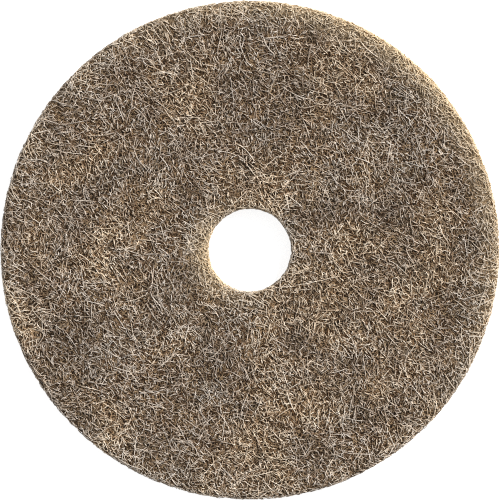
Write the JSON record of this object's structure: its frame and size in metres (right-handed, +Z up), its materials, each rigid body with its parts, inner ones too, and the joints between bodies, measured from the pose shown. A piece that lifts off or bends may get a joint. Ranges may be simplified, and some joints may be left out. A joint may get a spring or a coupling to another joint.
{
  "type": "floor polishing pad",
  "caption": "Flat round pad of lofty hair and crimped-fibre web with rolled, die-cut edges and an open centre hole, driven flat over a hard floor to polish it.",
  "frame": {"origin": "on the axis of the centre hole, on the plane that the pad lies on", "axes": "+Z up along the axis of the centre hole, out of the upper face; +Y is the top of the picture and +X its right"},
  "size_m": [0.508, 0.508, 0.0254],
  "materials": {
    "fibre_web": "matte fibrous web of cream, tan, brown and charcoal strands over dark gaps"
  },
  "bodies": {
    "root": {"polishing_pad": "fibre_web"}
  },
  "joints": []
}
